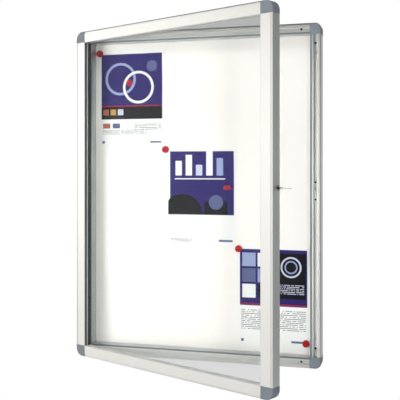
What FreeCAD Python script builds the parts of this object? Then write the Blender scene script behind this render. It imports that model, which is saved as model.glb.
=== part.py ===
import FreeCAD, Part
import math
import os

# Lockable wall notice board for nine A4 sheets, portrait, millimetres.
# X runs to the right, Y towards the wall and Z up. The origin is the centre of the
# four wall fixings, in the plane of the wall. The door is hung on the left and stands open.

# Driving dimensions
BOARD_WIDTH = 730.0
BOARD_HEIGHT = 980.0
CASE_DEPTH = 45.0            # wall to the front of the case profile
DOOR_DEPTH = 30.0
DOOR_GAP = 1.0               # between the case profile and the closed door
DOOR_OPEN_DEG = 25.0         # how far the door stands open at rest
PROFILE_WALL = 1.8           # outer wall of the aluminium profiles
INNER_WALL = 1.6             # walls inside them
PROFILE_INSET = 0.4          # the profiles lie this far behind the outside of the corner caps
FIT_GAP = 0.1                # between fixed pieces that fit into each other
HAIR = 0.05                  # between fixed pieces that touch
RIM_REACH = 8.0              # edges this near to the outside of a cap are on its rim

# Case profile
CASE_FACE = 30.7
CASE_CAP = 33.0
CASE_EDGE_RADIUS = 4.5       # rounded outer front edge
CASE_CAP_EDGE_RADIUS = 6.0
CASE_CORNER_RADIUS = 18.0    # outer corner of the corner caps
REAR_FLANGE = 24.0           # reach of the flange behind the panel
PANEL_SLOT_START = 6.0       # the panel slot begins this far in from the outside
PANEL_SLOT_TOP = 9.2         # distance of its front side from the wall
CASE_FRONT_WALL = 2.6
FRONT_CHANNEL_CENTRE = 16.5
FRONT_CHANNEL_WIDTH = 10.0
FRONT_CHANNEL_DEPTH = 8.0
SEAL_GROOVE_CENTRE = 27.9
SEAL_GROOVE_WIDTH = 4.0
SEAL_GROOVE_DEPTH = 1.4
SEAL_PROUD = 0.5
SEAL_OVERHANG = 0.4          # of its head over the inner edge of the profile

# Door profiles
STILE_FACE = 38.0            # upright profiles
RAIL_FACE = 33.0             # top and bottom profiles
LIP_WIDTH = 8.0              # front lip that covers the edge of the glass
LIP_THICKNESS = 7.2          # hollow
STILE_EDGE_RADIUS = 1.8      # rounded outer front edge
RAIL_EDGE_RADIUS = 3.6
DOOR_CAP_EDGE_RADIUS = 3.6
DOOR_CORNER_RADIUS = 24.0    # outer corner of the corner caps
DOOR_LINE_OFFSET = 4.6       # groove beside the rounded edge
DOOR_LINE_WIDTH = 2.2
DOOR_LINE_DEPTH = 1.0
LIP_EDGE_RADIUS = 1.2
GASKET_THICKNESS = 1.0
GASKET_FLANGE = 0.9          # covers the edge of the lip
GLASS_THICKNESS = 4.0
TAPE_THICKNESS = 2.5
GLASS_COVER = 6.5            # how far the lip reaches over the glass
CLIP_GROOVE = (6.0, 8.4)     # for the glazing bead, from the rear of the door
BEAD_TONGUE = (6.2, 8.2)
BEAD_REACH = 1.2             # of the tongue into the clip groove
BEAD_REAR = 2.5

# Back panel and what hangs on it
BOARD_THICKNESS = 6.2
PANEL_THICKNESS = 1.0
A4_WIDTH = 210.0
A4_HEIGHT = 297.0
PAPER_THICKNESS = 0.3
SHEET_CENTRES = ((-217.0, 286.0), (6.0, -14.0), (222.0, -302.0))
MAGNET_RADIUS = 10.5
MAGNET_HEIGHT = 7.0
MAGNET_TAPER = 0.8
MAGNET_ROUNDING = 1.5
MAGNET_CENTRES = ((-321.0, 432.0), (-107.5, 134.5), (119.0, -159.5), (317.5, -428.0))

# Corner connectors and wall fixings
CONNECTOR_WIDTH = 10.0
CONNECTOR_REACH = 32.0       # how far a leg goes into its profile
CASE_CONNECTOR_BACK = 15.0   # rear of the legs, from the wall
DOOR_CONNECTOR_CENTRE = 13.0
DOOR_CONNECTOR_FRONT = 20.0  # front of the legs, from the rear of the door
SCREW_FROM_CAP = 24.0        # connector screw, from the end of the profile
WALL_HOLE_X = BOARD_WIDTH / 2 - FRONT_CHANNEL_CENTRE
WALL_HOLE_Z = 405.0
WALL_HOLE_RADIUS = 3.25

# Hinges: pins inside the rear edge of the hinge stile
HINGE_Z = 311.0              # above and below the middle
HINGE_OFFSET = 5.5           # pin axis from the outer side of the door
HINGE_FORWARD = 9.0          # pin axis in front of the rear of the door
KNUCKLE_RADIUS = 4.6
HINGE_PIN_RADIUS = 2.0
RUNNING_CLEARANCE = 0.05
KNUCKLE_GAP = 0.3            # between one knuckle and the next
CASE_KNUCKLE_HALF = 12.0
DOOR_KNUCKLE_END = 30.0
CASE_LEAF_THICKNESS = 2.5
CASE_LEAF_LENGTH = 30.0
DOOR_LEAF_THICKNESS = 3.0
DOOR_LEAF_END = 27.0         # from the outer side of the door
PIN_HEAD_RADIUS = 3.2
PIN_HEAD_HEIGHT = 1.2

# Lock in the outer side of the lock stile
LOCK_Z = 28.6
LOCK_FORWARD = 9.0           # lock axis in front of the rear of the door
BARREL_RADIUS = 5.5
BARREL_LENGTH = 13.0
BARREL_FLANGE_RADIUS = 7.6
BARREL_FLANGE_THICKNESS = 1.5
NUT_RADIUS = 6.7
NUT_THICKNESS = 3.0
PLUG_RADIUS = 4.5
HOOK_SQUARE = 5.0            # square tail of the plug that carries the hook
HOOK_HUB_RADIUS = 6.0
HOOK_INNER = 15.0
HOOK_OUTER = 19.0
HOOK_THICKNESS = 2.5
HOOK_START = 15.0            # hook plane, from the outer side of the door
HOOK_TIP_DEG = 80.0          # angles from the rearward direction, turning down
HOOK_ROOT_DEG = 170.0
HOOK_ARM_DEG = 22.0
HOOK_SCREW_HEAD = 3.8
HOOK_SCREW_SHANK = 1.2
KEY_THICKNESS = 2.0
KEY_BLADE_WIDTH = 6.2
KEY_BLADE_LENGTH = 15.5
KEY_CUTS = (0.9, 0.5, 1.2, 0.7)
KEY_CUT_WIDTH = 1.4
KEY_CUT_PITCH = 2.6
KEY_NECK_WIDTH = 9.0
KEY_RING_HOLE = 3.0
KEY_GRIP_LENGTH = 8.0
KEY_GRIP_WIDTH = 14.0
KEY_GRIP_THICKNESS = 4.6
KEY_BOW_LENGTH = 27.0
KEY_BOW_WIDTH = 20.0

# Strike in the front channel of the case, behind the lock
STRIKE_BOTTOM = -22.0
STRIKE_TOP = 43.0
STRIKE_PLATE = 1.6
STRIKE_RECESS = 2.8
STRIKE_LOWER_FOOT = 15.0
STRIKE_UPPER_FOOT = 10.0
STRIKE_HOLE_WIDTH = 5.0
STRIKE_HOLE_TOP = LOCK_Z - 3.6
STRIKE_HOLE_BOTTOM = LOCK_Z - 14.8
STRIKE_SCREW_Z = (-11.0, 38.0)
STRIKE_SCREW_HOLE = 1.55

# Countersunk screws: length, head radius, shank radius
FRAME_SCREW = (12.0, 3.4, 1.9)
STRIKE_SCREW = (9.0, 3.0, 1.5)
HINGE_CASE_SCREW = (6.0, 2.6, 1.5)
HINGE_DOOR_SCREW = (5.0, 3.0, 1.5)

HALF_WIDTH = BOARD_WIDTH / 2
HALF_HEIGHT = BOARD_HEIGHT / 2
DOOR_BACK = CASE_DEPTH + DOOR_GAP
DOOR_FRONT = DOOR_BACK + DOOR_DEPTH
LIP_BACK = DOOR_DEPTH - LIP_THICKNESS
GLASS_FRONT = LIP_BACK - GASKET_THICKNESS
GLASS_BACK = GLASS_FRONT - GLASS_THICKNESS
TAPE_BACK = GLASS_BACK - TAPE_THICKNESS
PANEL_BACK = PROFILE_WALL + FIT_GAP + BOARD_THICKNESS
PANEL_FRONT = PANEL_BACK + PANEL_THICKNESS
CHANNEL_FLOOR = CASE_DEPTH - FRONT_CHANNEL_DEPTH
SIDES = ("left", "right", "bottom", "top")
CORNERS = {"top_left": (-1, 1), "top_right": (1, 1), "bottom_left": (-1, -1), "bottom_right": (1, -1)}

X = FreeCAD.Vector(1, 0, 0)
Y = FreeCAD.Vector(0, 1, 0)
Z = FreeCAD.Vector(0, 0, 1)

# Door pieces are drawn on the closed door and swung open about this line.
HINGE_AXIS = FreeCAD.Vector(-HALF_WIDTH + HINGE_OFFSET, -DOOR_BACK - HINGE_FORWARD, 0)
LOCK_AXIS = FreeCAD.Vector(HALF_WIDTH, -DOOR_BACK - LOCK_FORWARD, LOCK_Z)

nodes = {}


def point(side, inward, along, forward, base):
    """Point at a distance inward from the outside of one side, along it, and in front of base."""
    y = -(base + forward)
    if side == "left":
        return FreeCAD.Vector(-HALF_WIDTH + inward, y, along)
    if side == "right":
        return FreeCAD.Vector(HALF_WIDTH - inward, y, along)
    if side == "bottom":
        return FreeCAD.Vector(along, y, -HALF_HEIGHT + inward)
    return FreeCAD.Vector(along, y, HALF_HEIGHT - inward)


def run(side):
    """Direction along one side of the board."""
    return Z if side in ("left", "right") else X


def rounded_wire(corners):
    """Closed wire through (point, radius) corners, with an arc at each corner that has a radius."""
    edges = []
    count = len(corners)
    stops = []
    for i, (corner, radius) in enumerate(corners):
        to_last = (corners[i - 1][0] - corner).normalize()
        to_next = (corners[(i + 1) % count][0] - corner).normalize()
        if radius == 0:
            stops.append((corner, corner, None))
            continue
        half = to_last.getAngle(to_next) / 2
        reach = radius / math.tan(half)
        bisector = (to_last + to_next).normalize()
        middle = corner + bisector * (radius / math.sin(half) - radius)
        stops.append((corner + to_last * reach, corner + to_next * reach, middle))
    for i, (start, end, middle) in enumerate(stops):
        if middle is not None:
            edges.append(Part.Arc(start, middle, end).toShape())
        following = stops[(i + 1) % count][0]
        if end.distanceToPoint(following) > 1e-6:
            edges.append(Part.makeLine(end, following))
    return Part.Wire(edges)


def bar(side, section, length, base):
    """Straight bar on one side: section holds (inward, forward, radius) corners."""
    corners = [(point(side, w, -length / 2, d, base), r) for w, d, r in section]
    return Part.Face(rounded_wire(corners)).extrude(run(side) * length)


def side_box(side, inwards, alongs, forwards, base):
    """Box on one side between two distances inward, along and forward."""
    low = point(side, inwards[0], alongs[0], forwards[0], base)
    high = point(side, inwards[1], alongs[1], forwards[1], base)
    return box_between(low, high)


def box_between(a, b):
    low = FreeCAD.Vector(min(a.x, b.x), min(a.y, b.y), min(a.z, b.z))
    high = FreeCAD.Vector(max(a.x, b.x), max(a.y, b.y), max(a.z, b.z))
    size = high - low
    return Part.makeBox(size.x, size.y, size.z, low)


def corner_plate(sign, spans, forwards, base, radius=0.0):
    """Plate at a corner from (across, up) spans, measured from the outer corner."""
    (across0, across1), (up0, up1) = spans
    sx, sz = sign

    def place(across, up):
        return FreeCAD.Vector(sx * (HALF_WIDTH - across), -(base + forwards[0]), sz * (HALF_HEIGHT - up))

    outline = [(place(across0, up0), radius), (place(across1, up0), 0),
               (place(across1, up1), 0), (place(across0, up1), 0)]
    return Part.Face(rounded_wire(outline)).extrude(-Y * (forwards[1] - forwards[0]))


def countersunk_screw(head_centre, direction, size):
    """Countersunk screw with a cross recess; direction points into the work."""
    length, head_radius, shank_radius = size
    head_height = head_radius - shank_radius
    head = Part.makeCone(head_radius, shank_radius, head_height, head_centre, direction)
    shank = Part.makeCylinder(shank_radius, length - head_height,
                              head_centre + direction * head_height, direction)
    screw = head.fuse(shank)
    return screw.cut(cross_recess(head_centre, direction, head_radius)).removeSplitter()


def cross_recess(head_centre, direction, head_radius):
    """Cross of two slots, in proportion to the screw head."""
    arm = head_radius * 0.55
    half = head_radius * 0.13
    first = X if abs(direction.x) < 0.5 else Y
    second = direction.cross(first)
    recess = None
    for a, b in ((first, second), (second, first)):
        ends = ((1, 1), (-1, 1), (-1, -1), (1, -1))
        corners = [head_centre + a * arm * i + b * half * j for i, j in ends]
        slot = Part.Face(rounded_wire([(c, 0) for c in corners])).extrude(direction * head_radius * 0.4)
        recess = slot if recess is None else recess.fuse(slot)
    return recess


def screw_hole(head_centre, direction, size):
    """Hole that the screw fills, with a hair of clearance."""
    length, head_radius, shank_radius = size
    head_height = head_radius - shank_radius
    start = head_centre - direction * HAIR
    top = head_radius + 2 * HAIR
    foot = shank_radius + HAIR
    cone = Part.makeCone(top, foot, head_height + HAIR, start, direction)
    return cone.fuse(Part.makeCylinder(foot, length + 2 * HAIR, start, direction))


def group(solids):
    """Several separate solids in one node."""
    return Part.makeCompound(solids)


def edges_on_rim(shape, sign, face_y):
    """Edges in the plane face_y that lie on the two outer sides and outer corner of a cap."""
    rim = []
    outer_x = sign[0] * HALF_WIDTH
    outer_z = sign[1] * HALF_HEIGHT
    for edge in shape.Edges:
        box = edge.BoundBox
        if abs(box.YMin - face_y) > 0.01 or abs(box.YMax - face_y) > 0.01:
            continue
        middle = edge.valueAt((edge.FirstParameter + edge.LastParameter) / 2)
        near = min(abs(middle.x - outer_x), abs(middle.z - outer_z))
        if near < RIM_REACH:
            rim.append(edge)
    return rim


# Case


def case_section():
    """Hollow aluminium profile with a slot for the panel and a screw channel in its front."""
    o = PROFILE_INSET
    channel_near = FRONT_CHANNEL_CENTRE - FRONT_CHANNEL_WIDTH / 2
    channel_far = FRONT_CHANNEL_CENTRE + FRONT_CHANNEL_WIDTH / 2
    seal_near = SEAL_GROOVE_CENTRE - SEAL_GROOVE_WIDTH / 2
    seal_far = SEAL_GROOVE_CENTRE + SEAL_GROOVE_WIDTH / 2
    groove_floor = CASE_DEPTH - SEAL_GROOVE_DEPTH
    return [
        (o, 0, 0.5), (REAR_FLANGE, 0, 0.4), (REAR_FLANGE, PROFILE_WALL, 0),
        (PANEL_SLOT_START, PROFILE_WALL, 0),
        (PANEL_SLOT_START, PANEL_SLOT_TOP, 0), (CASE_FACE, PANEL_SLOT_TOP, 0.3),
        (CASE_FACE, CASE_DEPTH, 0.5),
        (seal_far, CASE_DEPTH, 0), (seal_far, groove_floor, 0), (seal_near, groove_floor, 0),
        (seal_near, CASE_DEPTH, 0.3), (channel_far, CASE_DEPTH, 0.4), (channel_far, CHANNEL_FLOOR, 0),
        (channel_near, CHANNEL_FLOOR, 0), (channel_near, CASE_DEPTH, 0.4),
        (o, CASE_DEPTH, CASE_EDGE_RADIUS),
    ]


def case_chamber():
    """Hollow inside of the case profile."""
    outer = PROFILE_INSET + PROFILE_WALL
    inner = CASE_FACE - INNER_WALL
    near = FRONT_CHANNEL_CENTRE - FRONT_CHANNEL_WIDTH / 2 - INNER_WALL
    far = FRONT_CHANNEL_CENTRE + FRONT_CHANNEL_WIDTH / 2 + INNER_WALL
    under_channel = CHANNEL_FLOOR - INNER_WALL
    front = CASE_DEPTH - CASE_FRONT_WALL
    rear = PANEL_SLOT_TOP + INNER_WALL
    return [
        (outer, rear, 0), (inner, rear, 0), (inner, front, 0), (far, front, 0), (far, under_channel, 0),
        (near, under_channel, 0), (near, front, 0), (outer, front, CASE_EDGE_RADIUS - PROFILE_WALL),
    ]


def case_length(side):
    """Length of one case profile, between its two corner caps."""
    return (BOARD_HEIGHT if run(side) is Z else BOARD_WIDTH) - 2 * CASE_CAP


def connector_screw_places(side):
    """Positions along a side of its two connector screws."""
    reach = case_length(side) / 2 - SCREW_FROM_CAP
    return (-reach, reach)


def wall_hole(x_sign, z_sign):
    start = FreeCAD.Vector(x_sign * WALL_HOLE_X, 1, z_sign * WALL_HOLE_Z)
    return Part.makeCylinder(WALL_HOLE_RADIUS, CASE_DEPTH + 2, start, -Y)


def case_connector_screw(side, along):
    return point(side, FRONT_CHANNEL_CENTRE, along, CHANNEL_FLOOR, 0)


def make_case_profile(side):
    length = case_length(side)
    profile = bar(side, case_section(), length, 0).cut(bar(side, case_chamber(), length, 0))
    for along in connector_screw_places(side):
        profile = profile.cut(screw_hole(case_connector_screw(side, along), Y, FRAME_SCREW))
    if side in ("left", "right"):
        x_sign = -1 if side == "left" else 1
        for z_sign in (-1, 1):
            profile = profile.cut(wall_hole(x_sign, z_sign))
    if side == "left":
        for height in (-HINGE_Z, HINGE_Z):
            profile = profile.cut(hinge_case_slot(height))
            for hole in hinge_case_screw_places(height):
                profile = profile.cut(screw_hole(hole, X, HINGE_CASE_SCREW))
    if side == "right":
        half = STRIKE_HOLE_WIDTH / 2
        across = (FRONT_CHANNEL_CENTRE - half, FRONT_CHANNEL_CENTRE + half)
        heights = (STRIKE_HOLE_BOTTOM, LOCK_Z + 4.0)
        depths = (CHANNEL_FLOOR - INNER_WALL - 1, CHANNEL_FLOOR + 1)
        profile = profile.cut(side_box(side, across, heights, depths, 0))
        for height in STRIKE_SCREW_Z:
            place = strike_screw_place(height)
            profile = profile.cut(Part.makeCylinder(STRIKE_SCREW_HOLE, STRIKE_SCREW[0] + 1, place, Y))
    return profile


def case_legs(sign, slack):
    """L of two bars through a case corner, for the connector and for its cavity in the cap."""
    half = CONNECTOR_WIDTH / 2 + slack
    near = FRONT_CHANNEL_CENTRE - half
    far = FRONT_CHANNEL_CENTRE + half
    reach = CASE_CAP + CONNECTOR_REACH
    front = CHANNEL_FLOOR - INNER_WALL - FIT_GAP + slack
    forwards = (CASE_CONNECTOR_BACK - slack, front)
    upright = corner_plate(sign, ((near, far), (near, reach)), forwards, 0)
    level = corner_plate(sign, ((near, reach), (near, far)), forwards, 0)
    return upright.fuse(level).removeSplitter()


def make_case_cap(sign):
    depth = CASE_DEPTH + PROFILE_INSET
    block = corner_plate(sign, ((0, CASE_CAP), (0, CASE_CAP)), (0, depth), 0, CASE_CORNER_RADIUS)
    front = edges_on_rim(block, sign, -depth)
    block = block.makeFillet(CASE_CAP_EDGE_RADIUS, front)
    slot = corner_plate(sign, ((PANEL_SLOT_START, CASE_CAP + 1), (PANEL_SLOT_START, CASE_CAP + 1)),
                        (PROFILE_WALL, PANEL_SLOT_TOP), 0, CASE_CORNER_RADIUS - PANEL_SLOT_START)
    block = block.cut(slot).cut(case_legs(sign, FIT_GAP))
    groove = (SEAL_GROOVE_CENTRE - SEAL_GROOVE_WIDTH / 2, CASE_FACE + SEAL_OVERHANG + HAIR)
    whole = (groove[0], CASE_CAP + 1)
    forwards = (CASE_DEPTH - SEAL_GROOVE_DEPTH, depth + 1)
    for spans in ((groove, whole), (whole, groove)):
        block = block.cut(corner_plate(sign, spans, forwards, 0))
    return block


def make_case_connector(sign):
    connector = case_legs(sign, 0)
    x_side = "left" if sign[0] < 0 else "right"
    z_side = "bottom" if sign[1] < 0 else "top"
    for side, along_sign in ((x_side, sign[1]), (z_side, sign[0])):
        along = connector_screw_places(side)[1] * along_sign
        connector = connector.cut(screw_hole(case_connector_screw(side, along), Y, FRAME_SCREW))
    return connector


def make_case_connector_screws():
    screws = []
    for side in SIDES:
        for along in connector_screw_places(side):
            screws.append(countersunk_screw(case_connector_screw(side, along), Y, FRAME_SCREW))
    return group(screws)


def panel_plate(forwards):
    """Rectangular plate in the panel slot with its corners cut, drilled for the wall fixings."""
    cut = 16.0
    x = HALF_WIDTH - PANEL_SLOT_START - 1.0
    z = HALF_HEIGHT - PANEL_SLOT_START - 1.0
    outline = [(x, -z + cut), (x, z - cut), (x - cut, z), (-x + cut, z),
               (-x, z - cut), (-x, -z + cut), (-x + cut, -z), (x - cut, -z)]
    corners = [(FreeCAD.Vector(a, -forwards[0], b), 0) for a, b in outline]
    plate = Part.Face(rounded_wire(corners)).extrude(-Y * (forwards[1] - forwards[0]))
    for x_sign in (-1, 1):
        for z_sign in (-1, 1):
            plate = plate.cut(wall_hole(x_sign, z_sign))
    return plate


def make_case_seal(side):
    """Rubber strip in a groove round the opening; its flat head reaches over the inner edge.

    The upright strips run to the corners and the level ones meet them.
    """
    near = SEAL_GROOVE_CENTRE - SEAL_GROOVE_WIDTH / 2
    far = SEAL_GROOVE_CENTRE + SEAL_GROOVE_WIDTH / 2
    edge = CASE_FACE + SEAL_OVERHANG
    floor = CASE_DEPTH - SEAL_GROOVE_DEPTH
    under = CASE_DEPTH + HAIR
    top = CASE_DEPTH + SEAL_PROUD
    section = [(near, floor, 0), (far, floor, 0), (far, under, 0), (edge, under, 0),
               (edge, top, 0.2), (near, top, 0.3)]
    if run(side) is Z:
        return bar(side, section, BOARD_HEIGHT - 2 * near, 0)
    return bar(side, section, BOARD_WIDTH - 2 * (edge + HAIR), 0)


def make_sheet(centre):
    x, z = centre
    low = FreeCAD.Vector(x - A4_WIDTH / 2, -PANEL_FRONT - HAIR - PAPER_THICKNESS, z - A4_HEIGHT / 2)
    return Part.makeBox(A4_WIDTH, PAPER_THICKNESS, A4_HEIGHT, low)


def make_magnets():
    """Round magnets with a slightly conical plastic cap and a softened rim."""
    magnets = []
    rear = PANEL_FRONT + PAPER_THICKNESS + 2 * HAIR
    for x, z in MAGNET_CENTRES:
        centre = FreeCAD.Vector(x, -rear, z)
        body = Part.makeCone(MAGNET_RADIUS, MAGNET_RADIUS - MAGNET_TAPER, MAGNET_HEIGHT, centre, -Y)
        front = [e for e in body.Edges if e.BoundBox.YMax < -rear - MAGNET_HEIGHT + 0.01]
        magnets.append(body.makeFillet(MAGNET_ROUNDING, front))
    return group(magnets)


# Strike


def strike_screw_place(height):
    return point("right", FRONT_CHANNEL_CENTRE, height, CASE_DEPTH - STRIKE_RECESS, 0)


def make_strike_plate():
    """Bridge in the front channel: a plate on two feet, with the hole that the hook enters."""
    half = FRONT_CHANNEL_WIDTH / 2 - FIT_GAP
    across = (FRONT_CHANNEL_CENTRE - half, FRONT_CHANNEL_CENTRE + half)
    front = CASE_DEPTH - STRIKE_RECESS
    plate = side_box("right", across, (STRIKE_BOTTOM, STRIKE_TOP), (CHANNEL_FLOOR, front), 0)
    span = (STRIKE_BOTTOM + STRIKE_LOWER_FOOT, STRIKE_TOP - STRIKE_UPPER_FOOT)
    depths = (CHANNEL_FLOOR - 1, front - STRIKE_PLATE)
    under = side_box("right", (across[0] - 1, across[1] + 1), span, depths, 0)
    hole_half = STRIKE_HOLE_WIDTH / 2
    hole = side_box("right", (FRONT_CHANNEL_CENTRE - hole_half, FRONT_CHANNEL_CENTRE + hole_half),
                    (STRIKE_HOLE_BOTTOM, STRIKE_HOLE_TOP), (CHANNEL_FLOOR, front + 1), 0)
    plate = plate.cut(under).cut(hole)
    for height in STRIKE_SCREW_Z:
        plate = plate.cut(screw_hole(strike_screw_place(height), Y, STRIKE_SCREW))
    return plate


def make_strike_screws():
    places = [strike_screw_place(height) for height in STRIKE_SCREW_Z]
    return group([countersunk_screw(place, Y, STRIKE_SCREW) for place in places])


# Hinges


def hinge_case_slot(height):
    """Slot in the front of the case for the leaf of one hinge."""
    near = PROFILE_INSET + PROFILE_WALL
    reach = CASE_KNUCKLE_HALF + 0.3
    rear = CASE_DEPTH - CASE_EDGE_RADIUS - 0.5
    return side_box("left", (near - 0.2, near + CASE_LEAF_THICKNESS + 0.3),
                    (height - reach, height + reach), (rear, CASE_DEPTH + 1), 0)


def hinge_case_screw_places(height):
    return [point("left", PROFILE_INSET, height + offset, 33.0, 0) for offset in (-6.5, 6.5)]


def knuckle(low, high, bore):
    centre = FreeCAD.Vector(HINGE_AXIS.x, HINGE_AXIS.y, low)
    return Part.makeCylinder(KNUCKLE_RADIUS, high - low, centre).cut(
        Part.makeCylinder(bore, high - low, centre))


def make_hinge_case_leaf(height):
    """Middle knuckle and the leaf that goes back into the case profile."""
    near = PROFILE_INSET + PROFILE_WALL + HAIR
    half = CASE_KNUCKLE_HALF
    low = FreeCAD.Vector(-HALF_WIDTH + near, HINGE_AXIS.y, height - half)
    leaf = Part.makeBox(CASE_LEAF_THICKNESS, CASE_LEAF_LENGTH, 2 * half, low)
    axis = FreeCAD.Vector(HINGE_AXIS.x, HINGE_AXIS.y, height - half)
    bore = Part.makeCylinder(HINGE_PIN_RADIUS, 2 * half, axis)
    middle = knuckle(height - half, height + half, HINGE_PIN_RADIUS)
    piece = leaf.fuse(middle).cut(bore).removeSplitter()
    for hole in hinge_case_screw_places(height):
        piece = piece.cut(screw_hole(hole, X, HINGE_CASE_SCREW))
    return piece


def hinge_door_screw_places(height):
    return [point("left", 21.0, height + offset, 0, DOOR_BACK) for offset in (-20.0, 0.0, 20.0)]


def make_hinge_door_leaf(height):
    """Upper and lower knuckle and the leaf behind the rear wall of the hinge stile."""
    inner = CASE_KNUCKLE_HALF + KNUCKLE_GAP
    outer = DOOR_KNUCKLE_END
    rear = PROFILE_WALL + FIT_GAP
    front = rear + DOOR_LEAF_THICKNESS
    whole = (height - outer, height + outer)
    gap = (height - inner, height + inner)
    leaf = side_box("left", (HINGE_OFFSET, DOOR_LEAF_END), whole, (rear, front), DOOR_BACK)
    middle = FreeCAD.Vector(HINGE_AXIS.x, HINGE_AXIS.y, height - inner)
    leaf = leaf.cut(Part.makeCylinder(KNUCKLE_RADIUS + 0.5, 2 * inner, middle))
    leaf = leaf.cut(side_box("left", (0, HINGE_OFFSET + 3.0), gap, (0, 20), DOOR_BACK))
    bore = HINGE_PIN_RADIUS + RUNNING_CLEARANCE
    leaf = leaf.fuse(knuckle(height + inner, height + outer, bore))
    leaf = leaf.fuse(knuckle(height - outer, height - inner, bore))
    axis = FreeCAD.Vector(HINGE_AXIS.x, HINGE_AXIS.y, height - outer)
    leaf = leaf.cut(Part.makeCylinder(bore, 2 * outer, axis)).removeSplitter()
    for hole in hinge_door_screw_places(height):
        leaf = leaf.cut(screw_hole(hole, -Y, HINGE_DOOR_SCREW))
    return leaf


def make_hinge_pin(height):
    """Pin through the three knuckles, with a thin head that rests on the upper one."""
    end = DOOR_KNUCKLE_END
    low = FreeCAD.Vector(HINGE_AXIS.x, HINGE_AXIS.y, height - end)
    shaft = Part.makeCylinder(HINGE_PIN_RADIUS, 2 * end + 0.2, low)
    head_start = FreeCAD.Vector(low.x, low.y, height + end + 0.15)
    head = Part.makeCylinder(PIN_HEAD_RADIUS, PIN_HEAD_HEIGHT, head_start)
    return shaft.fuse(head).removeSplitter()


def hinge_notch(height):
    """Space cut from the rear edge of the hinge stile for one hinge."""
    end = DOOR_KNUCKLE_END + 2.0
    return side_box("left", (-1, HINGE_OFFSET + 5.3), (height - end, height + end), (-1, 16.5), DOOR_BACK)


# Door


def door_face(side):
    """Width of one door profile, seen from the front."""
    return STILE_FACE if run(side) is Z else RAIL_FACE


def door_length(side):
    """Length of one door profile, between its two corner caps."""
    return BOARD_HEIGHT - 2 * RAIL_FACE if run(side) is Z else BOARD_WIDTH - 2 * STILE_FACE


def rear_radius(side):
    """The hinge stile is rounded about the hinge pin, so that it turns clear of the case."""
    return HINGE_OFFSET - PROFILE_INSET if side == "left" else 2.0


def edge_radius(side):
    return STILE_EDGE_RADIUS if run(side) is Z else RAIL_EDGE_RADIUS


def door_section(side):
    """Hollow box with a front lip over the glass and a clip groove for the glazing bead."""
    o = PROFILE_INSET
    face = door_face(side)
    wall = face - LIP_WIDTH
    line = DOOR_DEPTH - DOOR_LINE_DEPTH
    return [
        (o, 0, rear_radius(side)), (wall, 0, 0.5), (wall, LIP_BACK, 0), (face, LIP_BACK, 0.4),
        (face, DOOR_DEPTH, LIP_EDGE_RADIUS), (DOOR_LINE_OFFSET + DOOR_LINE_WIDTH, DOOR_DEPTH, 0.2),
        (DOOR_LINE_OFFSET + DOOR_LINE_WIDTH, line, 0), (DOOR_LINE_OFFSET, line, 0),
        (DOOR_LINE_OFFSET, DOOR_DEPTH, 0), (o, DOOR_DEPTH, edge_radius(side)),
    ]


def door_chamber(side):
    """Hollow inside of the door profile, which reaches into the lip."""
    o = PROFILE_INSET + PROFILE_WALL
    edge = door_face(side) - PROFILE_WALL
    wall = edge - LIP_WIDTH
    top = DOOR_DEPTH - PROFILE_WALL
    lip = LIP_BACK + INNER_WALL
    rear = max(rear_radius(side) - PROFILE_WALL, 0.5)
    front = max(edge_radius(side) - PROFILE_WALL, 0.3)
    return [(o, PROFILE_WALL, rear), (wall, PROFILE_WALL, 0.5), (wall, lip, 0), (edge, lip, 0.3),
            (edge, top, 0.3), (o, top, front)]


def door_connector_screw(side, along):
    return point(side, DOOR_CONNECTOR_CENTRE, along, 0, DOOR_BACK)


def door_screw_places(side):
    reach = door_length(side) / 2 - SCREW_FROM_CAP
    return (-reach, reach)


def make_door_profile(side):
    length = door_length(side)
    wall = door_face(side) - LIP_WIDTH
    profile = bar(side, door_section(side), length, DOOR_BACK).cut(
        bar(side, door_chamber(side), length, DOOR_BACK))
    clip = side_box(side, (wall - PROFILE_WALL - 0.5, wall + 0.5), (-length / 2 - 1, length / 2 + 1),
                    CLIP_GROOVE, DOOR_BACK)
    profile = profile.cut(clip)
    for along in door_screw_places(side):
        profile = profile.cut(screw_hole(door_connector_screw(side, along), -Y, FRAME_SCREW))
    if side == "left":
        for height in (-HINGE_Z, HINGE_Z):
            profile = profile.cut(hinge_notch(height))
            for hole in hinge_door_screw_places(height):
                profile = profile.cut(screw_hole(hole, -Y, HINGE_DOOR_SCREW))
    if side == "right":
        profile = profile.cut(lock_cylinder(BARREL_RADIUS + FIT_GAP, -1, 5))
        slot = side_box("right", (HOOK_START - 0.8, HOOK_START + HOOK_THICKNESS + 0.8),
                        (LOCK_Z - HOOK_OUTER - 0.4, LOCK_Z - 10.5), (-1, PROFILE_WALL + 1), DOOR_BACK)
        profile = profile.cut(slot)
    return profile


def door_legs(sign, slack):
    half = CONNECTOR_WIDTH / 2 + slack
    near = DOOR_CONNECTOR_CENTRE - half
    far = DOOR_CONNECTOR_CENTRE + half
    forwards = (PROFILE_WALL + FIT_GAP - slack, DOOR_CONNECTOR_FRONT + slack)
    upright = corner_plate(sign, ((near, far), (near, RAIL_FACE + CONNECTOR_REACH)), forwards, DOOR_BACK)
    level = corner_plate(sign, ((near, STILE_FACE + CONNECTOR_REACH), (near, far)), forwards, DOOR_BACK)
    return upright.fuse(level).removeSplitter()


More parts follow.
